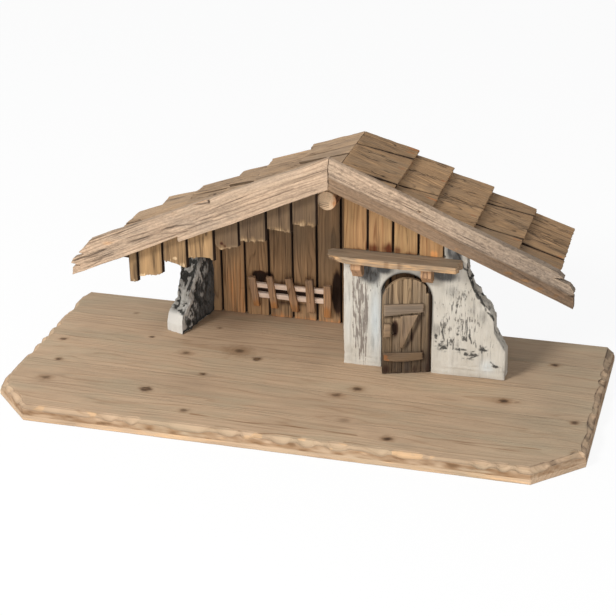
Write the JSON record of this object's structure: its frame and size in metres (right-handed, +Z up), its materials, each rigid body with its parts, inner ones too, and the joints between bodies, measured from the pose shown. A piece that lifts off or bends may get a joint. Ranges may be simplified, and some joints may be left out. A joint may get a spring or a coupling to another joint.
{
  "type": "nativity stable",
  "caption": "Rustic wooden nativity stable: open stall and plastered room with a hinged arched door under a shingled gable roof, on a wide board for figures.",
  "frame": {"origin": "centre of the base board's underside, which is also the middle of the overall box", "axes": "+X to the right seen from the front, +Y to the back, +Z up"},
  "size_m": [0.7, 0.32, 0.2996],
  "materials": {
    "spruce_board": "brushed and lightly stained spruce with knots",
    "aged_board": "hand-hewn pale spruce, matt",
    "shingle": "split shingles, greyed, matt",
    "weathered_board": "old spruce boards, matt",
    "toasted_board": "warm brown boards with scorched edges",
    "door_wood": "dark stained old planks",
    "plaster": "rough lime-white plaster over a core, dry-brushed dark",
    "grey_plaster": "rough grey-washed plaster over a core",
    "iron": "dull cut nail"
  },
  "bodies": {
    "stable": {"base_board": "spruce_board", "back_board_1": "weathered_board", "back_board_2": "weathered_board", "back_board_3": "weathered_board", "back_board_4": "weathered_board", "back_board_5": "weathered_board", "back_board_6": "weathered_board", "back_board_7": "weathered_board", "back_board_8": "weathered_board", "back_board_9": "weathered_board", "back_board_10": "weathered_board", "back_board_11": "weathered_board", "left_wall": "grey_plaster", "front_wall": "plaster", "shelf": "aged_board", "left_bracket": "aged_board", "right_bracket": "aged_board", "gable_board_1": "toasted_board", "gable_board_2": "toasted_board", "gable_board_3": "toasted_board", "gable_board_4": "toasted_board", "ridge_log": "aged_board", "left_roof_panel": "aged_board", "right_roof_panel": "aged_board", "left_shingles_1": "shingle", "left_shingles_2": "shingle", "left_shingles_3": "shingle", "left_shingles_4": "shingle", "left_shingles_5": "shingle", "left_shingles_6": "shingle", "right_shingles_1": "shingle", "right_shingles_2": "shingle", "right_shingles_3": "shingle", "right_shingles_4": "shingle", "right_shingles_5": "shingle", "left_bargeboard": "aged_board", "right_bargeboard": "aged_board", "apron_board_1": "weathered_board", "apron_board_2": "weathered_board", "apron_board_3": "weathered_board", "apron_board_4": "weathered_board", "apron_board_5": "weathered_board", "apron_board_6": "weathered_board", "apron_board_7": "weathered_board", "apron_board_8": "weathered_board", "rack_slat_1": "toasted_board", "rack_slat_2": "toasted_board", "rack_slat_3": "toasted_board", "rack_slat_4": "toasted_board", "rack_slat_5": "toasted_board", "rack_lower_rail": "aged_board", "rack_upper_rail": "aged_board", "lower_pivot_pin": "iron", "upper_pivot_pin": "iron"},
    "door": {"door_leaf": "door_wood", "door_upper_batten": "door_wood", "door_lower_batten": "door_wood", "door_brace": "door_wood", "door_latch": "door_wood"}
  },
  "joints": [
    {"name": "door_hinge", "type": "hinge", "parent": "stable", "child": "door", "pos_m": [0.14, 0.0424, 0.018], "axis": [0, 0, 1], "range_deg": [-19, 75]}
  ]
}
